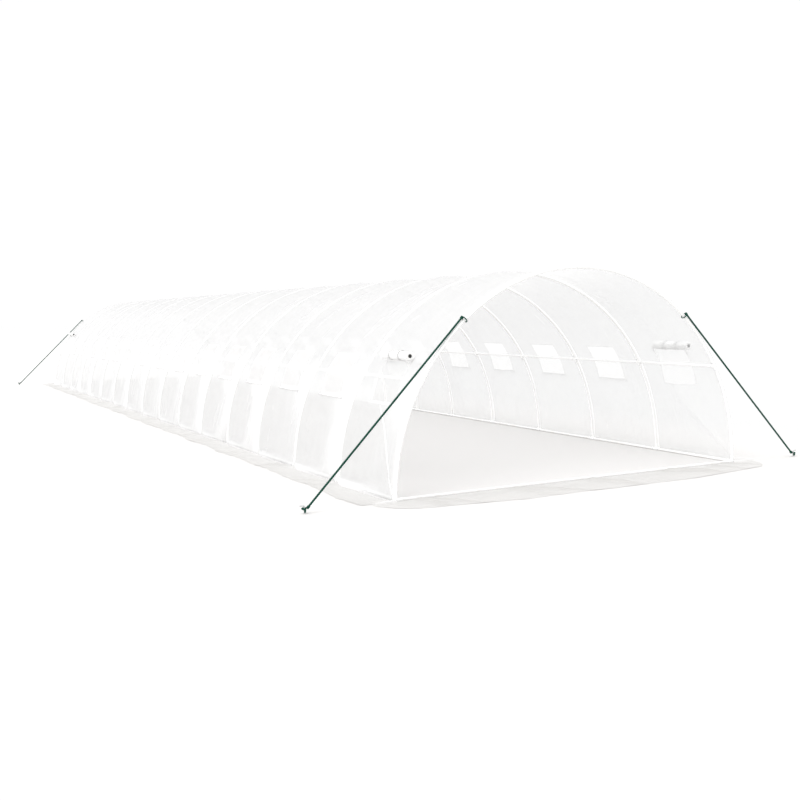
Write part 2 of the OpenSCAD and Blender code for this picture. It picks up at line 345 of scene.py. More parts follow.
screw_profile = [
    (screw_washer_r, -screw_sunk), (screw_washer_r, screw_washer_h), (screw_head_r, screw_washer_h),
    (screw_head_r, screw_head_h), (screw_top_share * screw_head_r, screw_head_h),
]
arm_turn = screw_reach / hoop_r
screw_frames = []
for fitting_angle in (0.0, purlin_angle, math.pi / 2, math.pi - purlin_angle, math.pi):
    for i, y in enumerate(hoop_places):
        turns = [arm_turn, -arm_turn]
        if fitting_angle == 0.0:
            turns = [arm_turn]
        if fitting_angle == math.pi:
            turns = [-arm_turn]
        screw_frames += [inward_frame(fitting_angle, y, reach_angle=turn) for turn in turns]
        reaches = [screw_reach] * (i < bays) + [-screw_reach] * (i > 0)
        if fitting_angle == math.pi / 2:
            reaches = []
        screw_frames += [inward_frame(fitting_angle, y, reach_y=reach) for reach in reaches]
screw_points, screw_faces = scatter(lathe(screw_profile, 6), screw_frames)
sleeve_screws = mesh_piece("sleeve_screws", screw_points, screw_faces, screw_finish, smooth=False)


# Film cover
# One clear polyethylene sheet drawn over the hoops, with a window cut out of it in each bay.
# It lies on hoops, rails and purlins, dips between them and gathers in pleats beside the hoops.
film_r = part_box("ground_skirt_right")[0][0]
film_lift = 0.0006
film_foot_z = 0.0022
film_past_end = 0.002
film_rest_r = film_r + film_lift
foot_angle = math.asin((film_foot_z - axis_z) / film_r)
sill_angle = math.asin((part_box("window_film_right")[0][2] - axis_z) / film_r)
head_angle = math.asin((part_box("window_film_right")[1][2] - axis_z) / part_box("wall_film_right")[1][0])
window_w = bay - 2 * (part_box("window_nets_right")[0][1] + end_y)
roof_dip = 0.034
roof_slope = math.radians(35)
wall_dip = 0.058
film_ripple = 0.003
foot_bulge_left = 0.040
foot_bulge_right = 0.012
swell_height = 0.05
swell_lean = 2.4
flare_from = 0.25
flare_to = 2.2
slack_right = 0.15
slack_top = 1.35
window_slack = 0.4
window_slack_up = 0.85
window_slack_reach = 0.28
pleats_per_bay = 3
crease_heading = 0.69
crease_width = 0.10
crease_depth = 0.020


def up_the_side(angle):
    """Angle above the ground on either side of the ridge."""
    return np.where(angle > math.pi / 2, math.pi - angle, angle)


def waves(first, second, size_first, size_second, count, seed):
    """A smooth random field over two coordinates, about -1 to 1, with waves of about the given sizes."""
    generator = np.random.default_rng(seed)
    total = 0
    for _ in range(count):
        rate_first = generator.normal(0, 1) * 2 * math.pi / size_first
        rate_second = generator.normal(0, 1) * 2 * math.pi / size_second
        phase = generator.uniform(0, 2 * math.pi)
        total = total + np.sin(rate_first * first + rate_second * second + phase)
    return total / math.sqrt(count) / 1.4


def across_bay(y):
    """0 at each hoop and 1 in the middle of each bay."""
    share = (np.clip(y, -end_y, end_y) + end_y) / bay
    return np.sin(math.pi * (share - np.floor(share)))


def foot_swell(angle, y):
    """Outward swell of the cover at the foot of a wall, greater on the left and flaring near the ends."""
    size = np.where(angle > math.pi / 2, foot_bulge_left, foot_bulge_right)
    share = (np.clip(y, -end_y, end_y) + end_y) / bay
    towards_back = np.sin(math.pi * (share - np.floor(share)) ** swell_lean)
    from_end = (end_y - np.abs(np.clip(y, -end_y, end_y))) / bay
    flare = np.clip(from_end / flare_from, 0, 1) * np.exp(-(from_end / flare_to) ** 2)
    return size * (towards_back + flare) * np.exp(-(up_the_side(angle) * hoop_r / swell_height) ** 2)


def film_folds(angle, y):
    """How much the cover is folded, or below 0 how tight it is. It is gathered behind each hoop, drawn tight
    low down before the next and slack at the windows, more so on the left, and it folds in the swell at its
    foot."""
    generator = np.random.default_rng(31)
    strength = np.append(0.3, generator.uniform(0.35, 0.9, bays))
    width = generator.uniform(0.4, 0.75, bays + 1)
    up = up_the_side(angle) * hoop_r
    at_bay = np.clip(((y + end_y) / bay).astype(int), 0, bays)
    share = (y + end_y) / bay % 1
    slack = np.where(angle > math.pi / 2, 1.0, slack_right) * np.clip((slack_top - up) / 0.4, 0, 1)
    gathered = strength[at_bay] * np.clip(1 - share / width[at_bay], 0, 1)
    gathered = gathered * (1 + 0.4 * waves(y, up, 0.9, 0.6, 6, 32))
    gathered = gathered + window_slack * np.exp(-((up - window_slack_up) / window_slack_reach) ** 2)
    tight = np.clip((share - 0.45) / 0.35, 0, 1) * np.clip((0.8 - up) / 0.3, 0, 1)
    swollen = 0.5 * foot_swell(angle, y) / foot_bulge_left
    return np.clip((gathered - tight) * slack * np.clip(1 - 4 * swollen, 0, 1) + swollen, -1, 1)


def film_radius(angle, y):
    """Radius of the drawn cover without its pleats. It dips between hoops, most in the middle of the fields
    under and over the side purlins, and swells at the foot."""
    up = up_the_side(angle)
    low = np.sin(math.pi * np.clip(up / purlin_angle, 0, 1))
    high = np.sin(0.5 * math.pi * np.clip((up - purlin_angle) / roof_slope, 0, 1))
    uneven = 1 + 0.3 * waves(y, angle * hoop_r, 3.0, 2.0, 6, 11)
    slack = film_ripple * np.sqrt(low + high) * waves(y, angle * hoop_r, 0.5, 0.9, 8, 12)
    dip = (wall_dip * low + roof_dip * high) * uneven - slack
    return film_rest_r - dip * across_bay(y) + foot_swell(angle, y)


def film_pleats(angle, y):
    """Height of the pleats: broad ones that rise from the ground beside each hoop, and a crease at each
    corner."""
    generator = np.random.default_rng(21)
    height = np.zeros(np.broadcast(angle, y).shape)
    up = up_the_side(angle) * hoop_r
    for side in (0, 1):
        on_side = (angle > math.pi / 2) == bool(side)
        for first_hoop in hoop_places[:-1]:
            for _ in range(pleats_per_bay):
                beside = generator.beta(1.1, 2.2) * 0.42 + 0.05
                from_first = generator.random() < 0.62
                start = first_hoop + beside if from_first else first_hoop + bay - 0.6 * beside
                lean = generator.uniform(-0.02, 0.16) * (1 if from_first else -0.5)
                top = generator.uniform(0.45, 1.0)
                width = generator.uniform(0.04, 0.09)
                rise = generator.uniform(0.003, 0.007) * generator.choice((-1, 1), p=(0.35, 0.65))
                fade = np.clip(up / 0.06, 0, 1) * np.clip((top - up) / (0.6 * top), 0, 1)
                height = height + on_side * rise * fade * np.exp(-((y - start - lean * up) / width) ** 2)
    along_in = end_y - np.abs(y)
    reach = np.hypot(up, along_in)
    heading = np.arctan2(along_in, np.maximum(up, 1e-6))
    crease = -crease_depth * np.exp(-((heading - crease_heading) / crease_width) ** 2)
    crease = crease * np.clip(reach / 0.25, 0, 1) * np.clip((1.5 - reach) / 0.8, 0, 1)
    clear_of_hoop = np.clip((bay - along_in) / 0.15, 0, 1) * np.clip(along_in / 0.03, 0, 1)
    under_purlin = np.clip((purlin_angle * hoop_r - up) / 0.15, 0, 1)
    return (height + crease * clear_of_hoop) * under_purlin


def on_tunnel(angle, y, radius):
    """Points round the tunnel's axis."""
    return np.stack(np.broadcast_arrays(radius * np.cos(angle), y, axis_z + radius * np.sin(angle)), -1)


def steps(stops, counts):
    """Values from each stop to the next, in the given counts of equal steps."""
    runs = [np.linspace(a, b, n, endpoint=False) for a, b, n in zip(stops, stops[1:], counts)]
    return np.append(np.concatenate(runs), stops[-1])


def sheet_piece(name, grids, material):
    """One mesh out of grids of quads: points, the place of each on the cut sheet, and the faces to keep."""
    all_points = []
    all_places = []
    all_faces = []
    for points, places, keep in grids:
        rows, columns = points.shape[:2]
        index = np.arange(rows * columns).reshape(rows, columns)
        quads = np.stack([index[:-1, :-1], index[1:, :-1], index[1:, 1:], index[:-1, 1:]], -1)
        faces = quads[keep].reshape(-1, 4)
        used = np.unique(faces)
        renumber = np.zeros(rows * columns, int)
        renumber[used] = np.arange(len(used)) + sum(map(len, all_points))
        all_points.append(points.reshape(-1, 3)[used])
        all_places.append(places.reshape(-1, 3)[used])
        all_faces += renumber[faces].tolist()
    piece = mesh_piece(name, np.concatenate(all_points), all_faces, material)
    kept = piece.data.attributes.new("place", "FLOAT_VECTOR", "POINT")
    kept.data.foreach_set("vector", np.concatenate(all_places).astype(np.float32).ravel())
    return piece


# Grey that the film is tinted towards as painted shade.
painted_shade_grey = (0.3, 0.3, 0.3, 1)
most_milk = 0.97
hoop_strip_edge = (0.034, 0.026)
crease_edge = (0.014, 0.006)
crease_fade = (1.35, 0.75)
roof_painted_shade_rise = (1.6, 2.5)


def film_finish(name, tint, clear, grazing, rough, glow, glow_colour, folded=None, on_hoops=False):
    """Polyethylene film: clearest where it is looked at squarely, milkier at a slant and where it is
    folded. glow is the share of its milk that is lit through, and folded its colour in folds. Where it is
    drawn tight it is painted a little grey, which is painted shade. The film on the hoops also has a welded
    strip over each, and on the left a crease at each corner and an upper roof painted greyer as painted
    shade."""
    material, wire = new_finish(name)
    spot = wire.node("Attribute", {"attribute_name": "place"}, None, "Vector")
    spot_y = wire.node("SeparateXYZ", None, {"Vector": spot}, "X")
    spot_arc = wire.node("SeparateXYZ", None, {"Vector": spot}, "Y")
    fold = wire.node("SeparateXYZ", None, {"Vector": spot}, "Z")
    drawn_out = wire.node("VectorMath", {"operation": "MULTIPLY"}, {0: spot, 1: (4.0, 0.8, 0.0)}, "Vector")
    streaks = wire.node("TexNoise", None, {"Vector": drawn_out, "Scale": 1.0, "Detail": 3.0}, "Fac")
    clouds = wire.node("TexNoise", None, {"Vector": spot, "Scale": 1.1, "Detail": 3.0}, "Fac")
    crinkle = wire.node("TexNoise", None, {"Vector": drawn_out, "Scale": 4.0, "Detail": 2.0}, "Fac")
    slant = wire.node("LayerWeight", None, {"Blend": 0.5}, "Facing")
    haze = streaks.ramp(0.48, 0.75) * 0.5 + clouds.ramp(0.42, 0.7) * 0.5
    tight = 0.0 - fold.math("MINIMUM", fold, 0.0)
    fold = fold.math("MAXIMUM", fold, 0.0)
    milk = clear + slant ** 3.0 * grazing + haze * 0.06
    over_hoop = 0.0
    roof_painted_shade = 0.0
    whitened = fold
    if on_hoops:
        bay_share = (spot_y + end_y) / bay
        from_hoop = 0.5 - bay_share.math("ABSOLUTE", bay_share.math("FRACT", bay_share) - 0.5)
        over_hoop = (from_hoop * bay).ramp(*hoop_strip_edge)
        from_ridge = spot_arc.math("ABSOLUTE", spot_arc - math.pi / 2 * hoop_r)
        up_wall = math.pi / 2 * hoop_r - from_ridge
        from_end = end_y - spot_y.math("ABSOLUTE", spot_y)
        reach = (up_wall * up_wall + from_end * from_end) ** 0.5
        turn = crease_heading - from_end.math("ARCTAN2", from_end, up_wall)
        line = (turn.math("ABSOLUTE", turn) * reach).ramp(*crease_edge)
        wedge = turn.ramp(0.0, crease_width) * 0.12
        on_left = (spot_arc - math.pi / 2 * hoop_r).ramp(-0.1, 0.1)
        # Painted shade: the upper roof on the left is tinted greyer.
        roof_painted_shade = up_wall.ramp(*roof_painted_shade_rise) * on_left
        crease = line.math("MAXIMUM", line, wedge) * reach.ramp(*crease_fade) * on_left
        fold = fold.math("MAXIMUM", fold, crease)
        whitened = fold.math("MAXIMUM", fold, over_hoop)
    milk = milk + fold * 0.30 + over_hoop * 0.25
    # Painted shade: the film is tinted towards grey where it is drawn tight and on the upper left roof.
    painted_shade = tight * 0.05 + roof_painted_shade * 0.16
    colour = painted_shade.mix(whitened.ramp(0.1, 1.0).mix(tint, folded or tint), painted_shade_grey)
    lit_through = glow - fold * 0.8 * glow + over_hoop * 0.3
    dents = wire.node("Bump", None, {"Height": crinkle, "Strength": 0.12, "Distance": 0.004}, "Normal")
    shader_ends = {"Base Color": colour, "Roughness": rough + haze * 0.15, "Normal": dents}
    return surface(material, shader_ends, milk.math("MINIMUM", milk, most_milk), lit_through, glow_colour)


clear_film = film_finish(
    "clear_film", tint=(0.61, 0.613, 0.617, 1), clear=0.37, grazing=0.85, rough=0.18, glow=0.33,
    glow_colour=(0.97, 0.97, 0.97, 1), folded=(0.86, 0.86, 0.86, 1), on_hoops=True,
)

steps_up = [16, 12, 8, 26]
bay_steps = [11, 18, 11]
end_bay_steps = [28, 28, 28]
side_angles = [foot_angle, 0.5 * sill_angle, sill_angle, head_angle]
round_angles = steps(
    side_angles + [math.pi / 2] + [math.pi - angle for angle in reversed(side_angles)],
    steps_up + steps_up[::-1],
)
along_stops = [-end_y - film_past_end]
for y in hoop_places[:-1]:
    along_stops += [y + 0.5 * (bay - window_w), y + 0.5 * (bay + window_w), y + bay]
along_stops[-1] = end_y + film_past_end
along = steps(along_stops, end_bay_steps + bay_steps * (bays - 2) + end_bay_steps)
film_angle, film_y = np.meshgrid(round_angles, along, indexing="ij")
drawn_r = film_radius(film_angle, film_y) + film_pleats(film_angle, film_y)
film_points = on_tunnel(film_angle, film_y, drawn_r)
film_place = np.stack([film_y, film_angle * hoop_r, film_folds(film_angle, film_y)], -1)

middle_up = up_the_side(0.5 * (round_angles[:-1] + round_angles[1:]))[:, None]
middle_y = 0.5 * (along[:-1] + along[1:])[None, :]
from_bay_middle = np.abs((middle_y + end_y) % bay - 0.5 * bay)
in_window = (middle_up > sill_angle) & (middle_up < head_angle) & (from_bay_middle < 0.5 * window_w)
cover = sheet_piece("film_cover", [(film_points, film_place, ~in_window)], clear_film)
for piece in ("wall_film", "window_film", "shoulder_film", "roof_film"):
    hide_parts(f"{piece}_left", f"{piece}_right")


# End hems and window borders
# Welded strips of the same film: one turned over each end hoop, and one round each window.
# Being double, they are milkier than the cover.
hem_width = 0.07
weld_lift = 0.0012
hem_bend_r = film_rest_r + weld_lift - hoop_r
border_w = 0.036
everywhere = Ellipsis

double_film = film_finish(
    "double_film", tint=(0.94, 0.94, 0.94, 1), clear=0.30, grazing=0.45, rough=0.2, glow=0.6,
    glow_colour=(0.97, 0.97, 0.97, 1),
)
lip_turns = np.radians(np.linspace(90, -5, 7))
hem_out = np.concatenate([[-hem_width, -0.6 * hem_width, -0.3 * hem_width], hem_bend_r * np.cos(lip_turns)])
hem_r = hoop_r + np.concatenate([[hem_bend_r] * 3, hem_bend_r * np.sin(lip_turns)])
hem_path = np.append(0, np.cumsum(np.hypot(np.diff(hem_out), np.diff(hem_r))))
hem_angle, hem_step = np.meshgrid(round_angles, np.arange(len(hem_out)), indexing="ij")
hem_grids = []
for end in (-1, 1):
    hem_points = on_tunnel(hem_angle, end * (end_y + hem_out[hem_step]), hem_r[hem_step])
    hem_place = np.stack([end * end_y + hem_path[hem_step], hem_angle * hoop_r, 0 * hem_angle], -1)
    hem_grids.append((hem_points, hem_place, everywhere))
end_hems = sheet_piece("end_hems", hem_grids, double_film)

border_turn = border_w / film_rest_r
border_up = steps([sill_angle - border_turn, sill_angle, head_angle, head_angle + border_turn], [2, 8, 2])
border_half = [0.5 * window_w, 0.5 * window_w + border_w]
border_along = steps([-border_half[1], -border_half[0], border_half[0], border_half[1]], [2, 14, 2])
border_keep = np.ones((len(border_up) - 1, len(border_along) - 1), bool)
border_keep[2:-2, 2:-2] = False
border_grids = []
for side in (0, 1):
    for first_hoop in hoop_places[:-1]:
        turned = math.pi - border_up if side else border_up
        border_angle, border_y = np.meshgrid(turned, border_along + first_hoop + 0.5 * bay, indexing="ij")
        border_r = film_radius(border_angle, border_y) + film_pleats(border_angle, border_y) + weld_lift
        border_place = np.stack([border_y, border_angle * hoop_r, 0 * border_y], -1)
        border_grids.append((on_tunnel(border_angle, border_y, border_r), border_place, border_keep))
window_borders = sheet_piece("window_borders", border_grids, double_film)

window_h = (head_angle - sill_angle) * film_rest_r


# Window netting
# Fine white insect netting, welded to the back of each window's border. The purlin passes behind it.
net_pitch = 0.004
net_lap = 0.012
net_behind = 0.0008
net_shade = (0.68, 0.68, 0.68, 1)
thread_white = (0.74, 0.74, 0.74, 1)

net_finish, start = new_finish("insect_netting")
spot = start.node("Attribute", {"attribute_name": "place"}, None, "Vector")
threads = []
for axis in ("X", "Y"):
    count = start.node("SeparateXYZ", None, {"Vector": spot}, axis) / net_pitch
    from_thread = count.math("ABSOLUTE", count.math("FRACT", count) - 0.5)
    threads.append(from_thread.ramp(0.30, 0.40))
weave = threads[0].math("MAXIMUM", threads[0], threads[1])
net_ends = {"Base Color": weave.mix(net_shade, thread_white), "Roughness": 0.6}
surface(net_finish, net_ends, 0.12 + weave * 0.30, 0.2, (0.9, 0.9, 0.9, 1))

for side in (0, 1):
    net_grids = []
    net_up = np.linspace(sill_angle - net_lap / film_rest_r, head_angle + net_lap / film_rest_r, 13)
    net_across = np.linspace(-0.5, 0.5, 17) * (window_w + 2 * net_lap)
    for first_hoop in hoop_places[:-1]:
        turned = math.pi - net_up if side else net_up
        net_angle, net_y = np.meshgrid(turned, net_across + first_hoop + 0.5 * bay, indexing="ij")
        net_r = film_radius(net_angle, net_y) + film_pleats(net_angle, net_y) - net_behind
        net_place = np.stack([net_y, net_angle * hoop_r, 0 * net_y], -1)
        net_grids.append((on_tunnel(net_angle, net_y, net_r), net_place, everywhere))
    netting = sheet_piece(f"window_netting_{sides[1 - side]}", net_grids, net_finish)
    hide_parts(f"window_nets_{sides[1 - side]}")


# Hanging window flaps
# In all bays but the first and the last a flap of milky film hangs shut over the window.
# It is welded on above the window, hangs a little free and has a plastic rod in its lower hem.
flap_lap = 0.03
flap_w = window_w + 2 * flap_lap
flap_h = window_h + 2 * flap_lap
flap_lift = 0.0024
flap_swing = 0.007
flap_billow = 0.004
flap_hem_from = 0.93
rod_r = 0.006
rod_gap = 0.0005
milky_film = film_finish(
    "milky_film", tint=(0.92, 0.92, 0.92, 1), clear=0.60, grazing=0.25, rough=0.32, glow=0.85,
    glow_colour=(0.975, 0.975, 0.975, 1),
)


def round_bar(start_point, end_point, radius, sides_round=10):
    """Points and faces of a closed bar between two points."""
    length = (end_point - start_point).length
    points, faces = lathe([(radius, 0), (radius, length)], sides_round)
    turned = (end_point - start_point).to_track_quat("Z", "Y").to_matrix().to_4x4()
    return [Matrix.Translation(start_point) @ turned @ Vector(p) for p in points], faces


def joined(shapes):
    """Many shapes as one list of points and one of faces."""
    all_points = []
    all_faces = []
    for points, faces in shapes:
        all_faces += [tuple(len(all_points) + i for i in face) for face in faces]
        all_points += list(points)
    return all_points, all_faces


for side in (0, 1):
    flap_grids = []
    rods = []
    for bay_index in range(1, bays - 1):
        middle = hoop_places[bay_index] + 0.5 * bay
        down = np.linspace(0, 1, 19)
        flap_down, flap_y = np.meshgrid(down, np.linspace(-0.5, 0.5, 23) * flap_w + middle, indexing="ij")
        flap_up = head_angle + flap_lap / film_rest_r - flap_down * flap_h / film_rest_r
        flap_angle = math.pi - flap_up if side else flap_up
        seed = 100 * side + bay_index
        billow = flap_billow * np.sin(math.pi * flap_down)
        billow = billow * (1 + waves(flap_y, flap_down, 0.5, 1.2, 5, seed))
        hang = film_radius(flap_angle, flap_y) + flap_lift + flap_swing * flap_down ** 1.5 + billow
        hem_fold = 0.3 * (flap_down > flap_hem_from)
        flap_place = np.stack([flap_y, flap_down * flap_h + side + bay_index, hem_fold], -1)
        flap_grids.append((on_tunnel(flap_angle, flap_y, hang), flap_place, everywhere))
        rod_at = hang[-1].max() + rod_r + rod_gap
        edge = on_tunnel(flap_angle[-1, [0, -1]], flap_y[-1, [0, -1]], rod_at)
        rods.append(round_bar(Vector(edge[0]), Vector(edge[1]), rod_r))
    flaps = sheet_piece(f"hanging_flaps_{sides[1 - side]}", flap_grids, milky_film)
    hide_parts(f"window_flaps_{sides[1 - side]}")
    flap_rods = mesh_piece(f"flap_rods_{sides[1 - side]}", *joined(rods), tube_finish)


# Rolled window flaps
# In the first and last bay the flap is wound up over its window on a core of white foam, and two
# webbing ties hold the roll. A near-black disc at each end of the core is painted shade for the core's dark
# hollow.
rolled_film = film_finish(
    "rolled_film", tint=(0.96, 0.96, 0.96, 1), clear=0.62, grazing=0.20, rough=0.35, glow=0.6,
    glow_colour=(0.98, 0.98, 0.98, 1),
)
roll_film_l = flap_h
roll_gap = 0.001
roll_inset = 0.008
roll_ripple = 0.0008
roll_slide = 0.004
core_r = 0.034
wind_turns = np.linspace(0, 1, 90)
hole_disc_r = 0.0175
hole_disc_h = 0.012

tie_finish, start = new_finish("webbing_tie")
place = start.node("TexCoord", out="Object")
weave_ends = {"Vector": place, "Scale": 320.0, "Distortion": 0.6}
weave = start.node("TexWave", {"bands_direction": "Y"}, weave_ends, "Fac")
weave_bump = start.node("Bump", None, {"Height": weave, "Strength": 0.4, "Distance": 0.0006}, "Normal")
surface(tie_finish, {
    "Base Color": weave.mix((0.60, 0.60, 0.60, 1), (0.74, 0.74, 0.73, 1)),
    "Roughness": 0.75,
    "Normal": weave_bump,
})
dress(["flap_ties_left", "flap_ties_right"], tie_finish)

foam_finish, start = new_finish("white_foam")
place = start.node("TexCoord", out="Object")
cells = start.node("TexVoronoi", {"feature": "F1"}, {"Vector": place, "Scale": 420.0}, "Distance")
cell_bump = start.node("Bump", None, {"Height": cells, "Strength": 0.3, "Distance": 0.001}, "Normal")
surface(foam_finish, {
    "Base Color": cells.mix((0.95, 0.95, 0.94, 1), (0.88, 0.88, 0.87, 1)),
    "Roughness": 0.8,
    "Normal": cell_bump,
})

# Painted shade: a near-black disc at each end of the core stands for the dark hollow of the core.
core_hole_shade_finish, start = new_finish("core_hole_painted_shade")
place = start.node("TexCoord", out="Object")
hole_shade_variation = start.node("TexNoise", None, {"Vector": place, "Scale": 120.0, "Detail": 3.0}, "Fac")
core_hole_black = hole_shade_variation.mix((0.012, 0.012, 0.012, 1), (0.03, 0.03, 0.03, 1))
surface(core_hole_shade_finish, {"Base Color": core_hole_black, "Roughness": 0.5 + hole_shade_variation * 0.2})

for side in (0, 1):
    name = sides[1 - side]
    low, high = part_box(f"rolled_flaps_{name}")
    axis_x = 0.5 * (low[0] + high[0])
    roll_axis_z = 0.5 * (low[2] + high[2])
    roll_outer_r = 0.5 * (high[2] - low[2]) - roll_gap
    towards_film = math.atan2(axis_z - roll_axis_z, -axis_x)
    wound = 2 * roll_film_l / (core_r + roll_outer_r)
    roll_grids = []
    cores = []
    hole_discs = []
    for roll_y in (low[1] + 0.5 * flap_w, high[1] - 0.5 * flap_w):
        roll_share, roll_along = np.meshgrid(wind_turns, np.linspace(-0.5, 0.5, 19), indexing="ij")
        turn = towards_film + (roll_share - 1) * wound * (1 if side else -1)
        seed = 50 + side + 10 * (roll_y > 0)
        uneven = roll_ripple * waves(roll_along, roll_share, 0.6, 0.5, 5, seed)
        roll_r = core_r + roll_gap + (roll_outer_r - core_r - roll_gap) * roll_share
        roll_r = roll_r + uneven * np.sin(math.pi * roll_share)
        slid = roll_slide * np.sin(9 * roll_share + seed) * (1 - roll_share)
        roll_points = np.stack([
            axis_x + roll_r * np.cos(turn),
            roll_y + roll_along * (flap_w - roll_inset) + slid,
            roll_axis_z + roll_r * np.sin(turn),
        ], -1)
        unrolled = roll_share * roll_film_l + 4 * side
        roll_place = np.stack([roll_points[..., 1], unrolled, 0 * roll_share], -1)
        roll_grids.append((roll_points, roll_place, everywhere))
        core_half = 0.5 * flap_w - roll_inset
        core_ends = [Vector((axis_x, roll_y + end * core_half, roll_axis_z)) for end in (-1, 1)]
        cores.append(round_bar(core_ends[0], core_ends[1], core_r, 24))
        for end, core_end in zip((-1, 1), core_ends):
            hole_disc_points, hole_disc_faces = lathe([(hole_disc_r, -hole_disc_h), (hole_disc_r, 0.002), (0.8 * hole_disc_r, 0.004)], 20)
            turned = Vector((0, end, 0)).to_track_quat("Z", "Y").to_matrix().to_4x4()
            placed = Matrix.Translation(core_end) @ turned
            hole_discs.append(([placed @ Vector(p) for p in hole_disc_points], hole_disc_faces))
    rolls = sheet_piece(f"wound_flaps_{name}", roll_grids, rolled_film)
    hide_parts(f"rolled_flaps_{name}")
    foam_cores = mesh_piece(f"foam_cores_{name}", *joined(cores), foam_finish, smooth=False)
    hole_shade_discs = mesh_piece(f"roll_hole_shades_{name}", *joined(hole_discs), core_hole_shade_finish, smooth=False)


# Ground skirts
# Loose strips of the cover film that lie flat on the ground along both sides and across both ends.
# They are tucked at each hoop, crumpled, scuffed and a little soiled, more so on the left, and the end
# strips are darker all over. Next to the walls and the end rails they are painted lighter, a painted light
# that lifts the shade at their inner edges.
skirt_lay = 0.0016
skirt_soil = ((0.05, 0.25), (0.57, 0.36))
skirt_by_wall = 0.05
crumple_height = 0.0035
tuck_fade = 0.12
skirt_film = film_finish(
    "scuffed_film", tint=(0.92, 0.915, 0.91, 1), clear=0.40, grazing=0.28, rough=0.4, glow=0.2,
    glow_colour=(0.80, 0.795, 0.79, 1), folded=(0.58, 0.57, 0.555, 1),
)


def crumple(along_strip, across_strip, tucks, reach, seed):
    """Height of a laid strip over the ground, and how much it is folded: low crumples, and tucks that run
    out over it at a slant from each given place."""
    generator = np.random.default_rng(seed)
    from_wall = np.clip(across_strip / skirt_by_wall, 0, 1)
    height = crumple_height * (1 + waves(along_strip, across_strip, 0.35, 0.30, 8, seed)) * from_wall
    folds = 0
    to_edge = np.clip((reach - across_strip) / tuck_fade, 0, 1)
    for tuck in tucks:
        for _ in range(2):
            middle = tuck + generator.normal(0, 0.07)
            lean = generator.uniform(0.3, 1.4)
            width = generator.uniform(0.03, 0.07)
            rise = generator.uniform(0.008, 0.022)
            ridge = np.exp(-((along_strip - middle - lean * across_strip) / width) ** 2)
            height = height + rise * ridge * from_wall * to_edge
            folds = folds + ridge * generator.uniform(0.4, 1.0)
    return skirt_lay + np.maximum(height, 0), np.clip(folds, 0, 1)


for side in (0, 1):
    name = sides[1 - side]
    low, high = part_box(f"ground_skirt_{name}")
    strip_w = high[0] - low[0]
    strip_stops = np.linspace(low[1], high[1], bays * 22 + 1)
    strip_y, strip_share = np.meshgrid(strip_stops, np.linspace(0, 1, 15), indexing="ij")
    scallop = 0.10 * np.abs(np.sin(math.pi * (strip_y + end_y) / bay))
    edge = 0.80 + 0.5 * scallop + 0.07 * waves(strip_y, 0, 1.6, 1, 5, 61 + side)
    edge = edge + 0.03 * waves(strip_y, 0, 0.22, 1, 5, 63 + side)
    strip_across = strip_share * strip_w * np.clip(edge, 0.65, 1.0)
    strip_z, folds_soil_painted_light = crumple(strip_y, strip_across, hoop_places[1:-1], 0.9 * strip_w, 65 + side)
    least_soil, more_soil = skirt_soil[side]
    folds_soil_painted_light = least_soil + more_soil * (0.4 * folds_soil_painted_light * strip_share + 0.65 * strip_share ** 1.5)
    strip_x = (film_r + 0.001 + strip_across) * (-1 if side else 1)
    # Painted light: next to the wall the strip keeps its plain light colour, lifting the shade at the film's
    # foot.
    folds_soil_painted_light = np.clip(folds_soil_painted_light, 0, 1) * np.clip(strip_across / skirt_by_wall, 0, 1)
    strip_place = np.stack([strip_across + 7 * side, strip_y, folds_soil_painted_light], -1)
    strip_grid = (np.stack([strip_x, strip_y, strip_z], -1), strip_place, everywhere)
    skirt = sheet_piece(f"laid_skirt_{name}", [strip_grid], skirt_film)
    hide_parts(f"ground_skirt_{name}")

for end, name in ((-1, "front"), (1, "back")):
    low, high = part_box(f"ground_skirt_{name}")
    strip_w = high[1] - low[1]
    strip_stops = np.linspace(low[0], high[0], 121)
    strip_x, strip_share = np.meshgrid(strip_stops, np.linspace(0, 1, 19), indexing="ij")
    ragged = 0.03 * waves(strip_x, 0, 0.9, 1, 5, 71 + end) + 0.015 * waves(strip_x, 0, 0.2, 1, 5, 73 + end)
    from_middle = np.abs(strip_x)
    tapered = 0.13 * np.clip(from_middle - 1.0, 0, 1)
    rounded = tapered + 0.24 * np.clip((from_middle - 1.95) / 0.28, 0, 1) ** 2
    edge = np.clip((0.51 - rounded) / strip_w + 0.6 * ragged, 0.12, 1.0)
    strip_across = strip_share * strip_w * edge
    strip_tucks = np.linspace(0.8 * low[0], 0.8 * high[0], 5)
    strip_z, folds_soil_painted_light = crumple(strip_x, strip_across, strip_tucks, 0.9 * strip_w * edge, 75 + end)
    near_corner = np.clip((high[0] - np.abs(strip_x)) / 0.15, 0, 1)
    turned_up = 0.85 * axis_z * np.exp(-(strip_across / 0.03) ** 2)
    crumpled = (strip_z - skirt_lay) * np.clip((strip_across - 0.03) / 0.05, 0, 1)
    strip_z = skirt_lay + (crumpled + turned_up) * near_corner
    strip_y = (low[1] if end > 0 else high[1]) + end * strip_across
    # The end strip is darker all over. Painted light keeps it at its plain light colour next to the rail,
    # lifting the rail's contact shadow.
    folds_soil_painted_light = (0.70 + 0.25 * folds_soil_painted_light) * np.clip(strip_across / 0.06, 0, 1)
    strip_place = np.stack([strip_across + 3 * end, strip_x, folds_soil_painted_light], -1)
    strip_grid = (np.stack([strip_x, strip_y, strip_z], -1), strip_place, everywhere)
    skirt = sheet_piece(f"laid_skirt_{name}", [strip_grid], skirt_film)
    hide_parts(f"ground_skirt_{name}")


